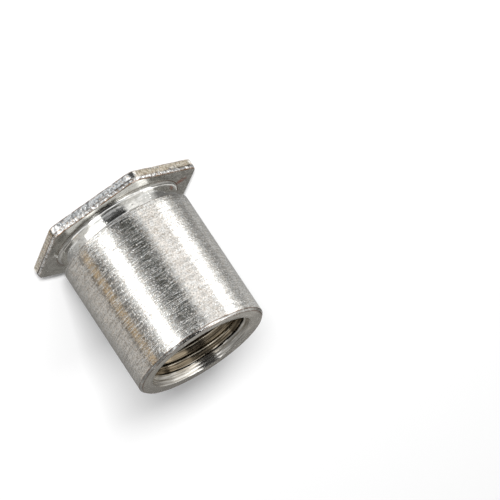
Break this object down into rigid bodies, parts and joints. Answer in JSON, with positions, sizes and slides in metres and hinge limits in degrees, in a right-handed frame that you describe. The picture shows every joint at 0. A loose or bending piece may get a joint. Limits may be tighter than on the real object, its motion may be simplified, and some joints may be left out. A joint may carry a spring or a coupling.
{
  "type": "blind standoff",
  "caption": "Self-clinching blind standoff: thin hexagonal head, clinching groove and round barrel with a threaded hole closed at the head end.",
  "frame": {"origin": "centre of the closed outer face of the hexagonal head, which is the underside as modelled", "axes": "+Z runs along the barrel and out of the threaded mouth; two flats of the hexagon face +Y and -Y"},
  "size_m": [0.01, 0.0088, 0.009],
  "materials": {
    "plated_steel": "zinc-plated carbon steel, bright, with fine turning marks round the barrel"
  },
  "bodies": {
    "root": {"standoff": "plated_steel"}
  },
  "joints": []
}
